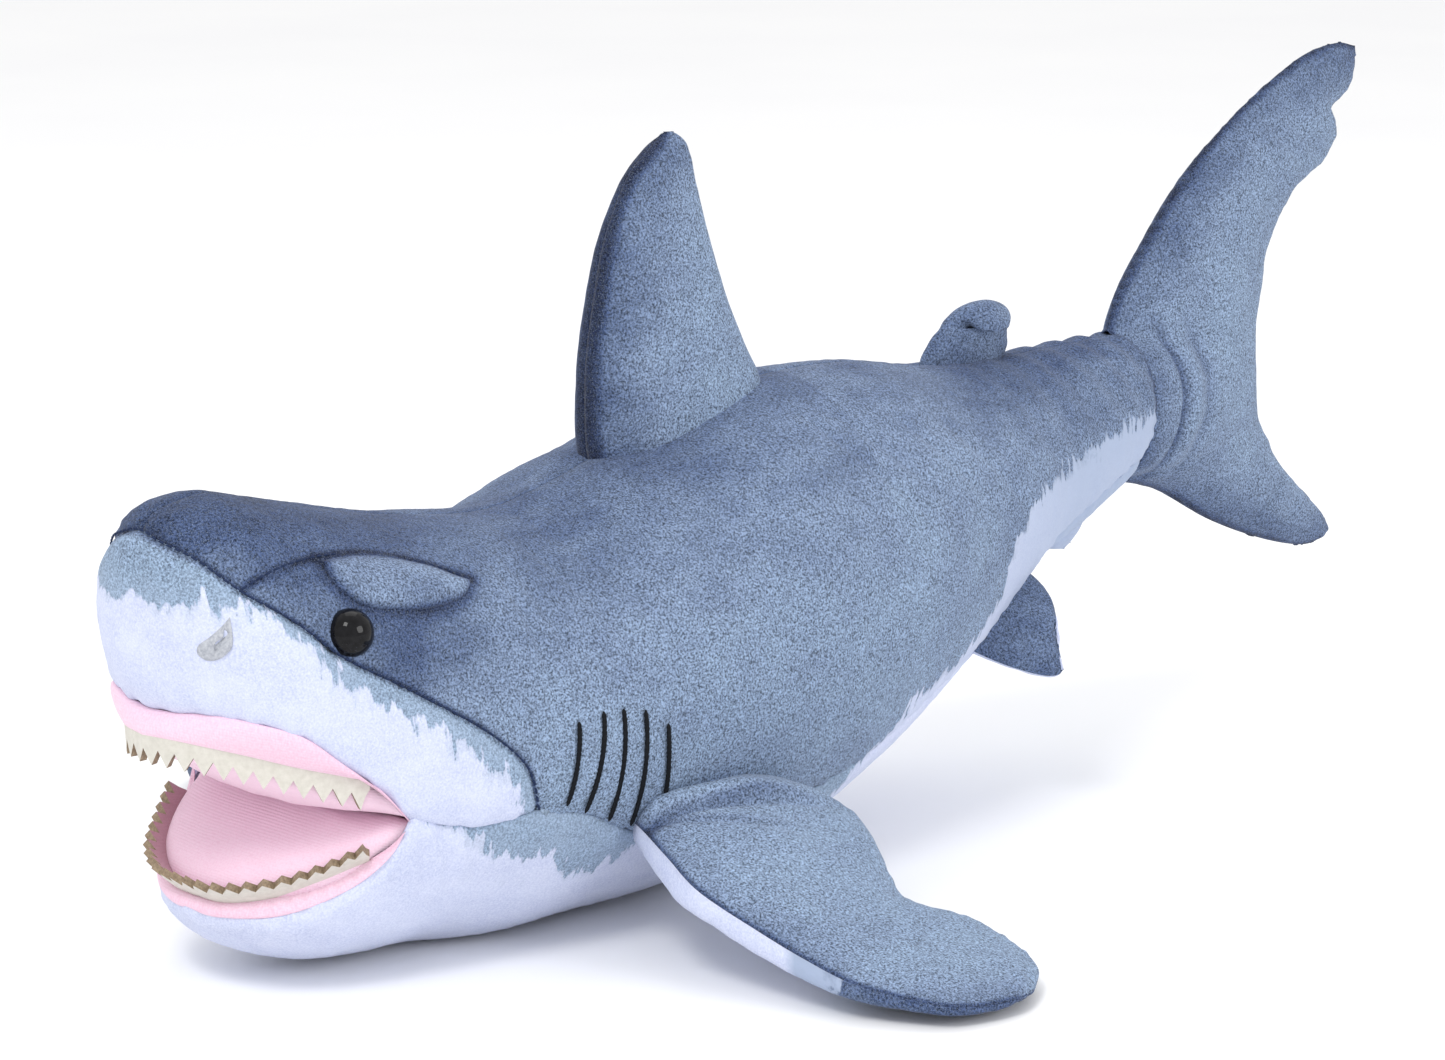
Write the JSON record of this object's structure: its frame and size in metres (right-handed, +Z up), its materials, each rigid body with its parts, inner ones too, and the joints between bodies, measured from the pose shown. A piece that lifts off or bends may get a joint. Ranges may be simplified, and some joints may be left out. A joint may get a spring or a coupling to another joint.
{
  "type": "plush shark",
  "caption": "Stuffed plush shark lying on its belly, with an open padded mouth, cloth teeth, domed eyes, bending fins and a crescent tail.",
  "frame": {"origin": "middle of the bounding box's base, on the surface that the belly rests on", "axes": "+Z up, +Y from the nose to the tail, +X to the shark's left side"},
  "size_m": [0.4194, 0.658, 0.276],
  "materials": {
    "blue_plush": "short heathered pile, darker along the back",
    "snout_plush": "short heathered pile that fades to white at the mouth",
    "white_plush": "short white pile with a cool tint",
    "mouth_knit": "brushed pink knit, padded",
    "tooth_cloth": "coated white cloth with raw brown edges",
    "nostril_felt": "grey felt",
    "stitch_thread": "black embroidery thread",
    "eye_plastic": "polished black",
    "washer_plastic": "moulded white",
    "stuffing": "polyester fibre"
  },
  "bodies": {
    "torso": {"body_stuffing": "stuffing", "snout_panel": "snout_plush", "belly_panel": "white_plush", "left_side_panel": "blue_plush", "right_side_panel": "blue_plush", "left_eye": "eye_plastic", "right_eye": "eye_plastic", "left_eye_washer": "washer_plastic", "right_eye_washer": "washer_plastic", "left_brow": "blue_plush", "right_brow": "blue_plush", "left_nostril": "nostril_felt", "right_nostril": "nostril_felt", "left_gill_stitches": "stitch_thread", "right_gill_stitches": "stitch_thread", "upper_lip": "mouth_knit", "palate": "mouth_knit", "upper_teeth": "tooth_cloth"},
    "jaw": {"jaw_stuffing": "stuffing", "chin_panel": "white_plush", "lower_lip": "mouth_knit", "lower_teeth": "tooth_cloth", "tongue": "mouth_knit"},
    "dorsal_fin": {"dorsal_fin_stuffing": "stuffing", "dorsal_fin_left_panel": "blue_plush", "dorsal_fin_right_panel": "blue_plush"},
    "second_dorsal_fin": {"second_dorsal_fin_left_panel": "blue_plush", "second_dorsal_fin_right_panel": "blue_plush"},
    "anal_fin": {"anal_fin_left_panel": "white_plush", "anal_fin_right_panel": "white_plush"},
    "caudal_fin": {"caudal_fin_stuffing": "stuffing", "caudal_fin_left_panel": "blue_plush", "caudal_fin_right_panel": "blue_plush"},
    "left_pectoral_fin": {"left_pectoral_fin_stuffing": "stuffing", "left_pectoral_fin_top_panel": "blue_plush", "left_pectoral_fin_bottom_panel": "white_plush"},
    "right_pectoral_fin": {"right_pectoral_fin_stuffing": "stuffing", "right_pectoral_fin_top_panel": "blue_plush", "right_pectoral_fin_bottom_panel": "white_plush"},
    "left_pelvic_fin": {"left_pelvic_fin_top_panel": "blue_plush", "left_pelvic_fin_bottom_panel": "white_plush"},
    "right_pelvic_fin": {"right_pelvic_fin_top_panel": "blue_plush", "right_pelvic_fin_bottom_panel": "white_plush"}
  },
  "joints": [
    {"name": "jaw_open", "type": "hinge", "parent": "torso", "child": "jaw", "pos_m": [0, -0.241, 0.059], "axis": [1, 0, 0], "range_deg": [-22, 6], "stiffness_Nm_per_rad": 0.5},
    {"name": "dorsal_fin_bend", "type": "hinge", "parent": "torso", "child": "dorsal_fin", "pos_m": [0, -0.06603, 0.17245], "axis": [0, 0.9842, 0.1771], "range_deg": [-30, 30], "stiffness_Nm_per_rad": 0.3},
    {"name": "second_dorsal_fin_bend", "type": "hinge", "parent": "torso", "child": "second_dorsal_fin", "pos_m": [0, 0.085, 0.1738], "axis": [0, 1, 0], "range_deg": [-35, 35], "stiffness_Nm_per_rad": 0.05},
    {"name": "anal_fin_bend", "type": "hinge", "parent": "torso", "child": "anal_fin", "pos_m": [0, 0.14295, 0.0904], "axis": [0, 0.9205, 0.3907], "range_deg": [-25, 25], "stiffness_Nm_per_rad": 0.05},
    {"name": "tail_sway", "type": "hinge", "parent": "torso", "child": "caudal_fin", "pos_m": [0, 0.2015, 0.148], "axis": [0, 0, 1], "range_deg": [-25, 25], "stiffness_Nm_per_rad": 0.8},
    {"name": "left_pectoral_fin_lift", "type": "hinge", "parent": "torso", "child": "left_pectoral_fin", "pos_m": [0.076, -0.126, 0.046], "axis": [0, -1, 0], "range_deg": [-2, 45], "stiffness_Nm_per_rad": 0.4},
    {"name": "right_pectoral_fin_lift", "type": "hinge", "parent": "torso", "child": "right_pectoral_fin", "pos_m": [-0.076, -0.126, 0.046], "axis": [0, 1, 0], "range_deg": [-2, 45], "stiffness_Nm_per_rad": 0.4},
    {"name": "left_pelvic_fin_lift", "type": "hinge", "parent": "torso", "child": "left_pelvic_fin", "pos_m": [0.0505, 0.058, 0.076], "axis": [0.1808, -0.861, -0.4754], "range_deg": [-25, 25], "stiffness_Nm_per_rad": 0.05},
    {"name": "right_pelvic_fin_lift", "type": "hinge", "parent": "torso", "child": "right_pelvic_fin", "pos_m": [-0.0505, 0.058, 0.076], "axis": [0.1808, 0.861, 0.4754], "range_deg": [-25, 25], "stiffness_Nm_per_rad": 0.05}
  ]
}
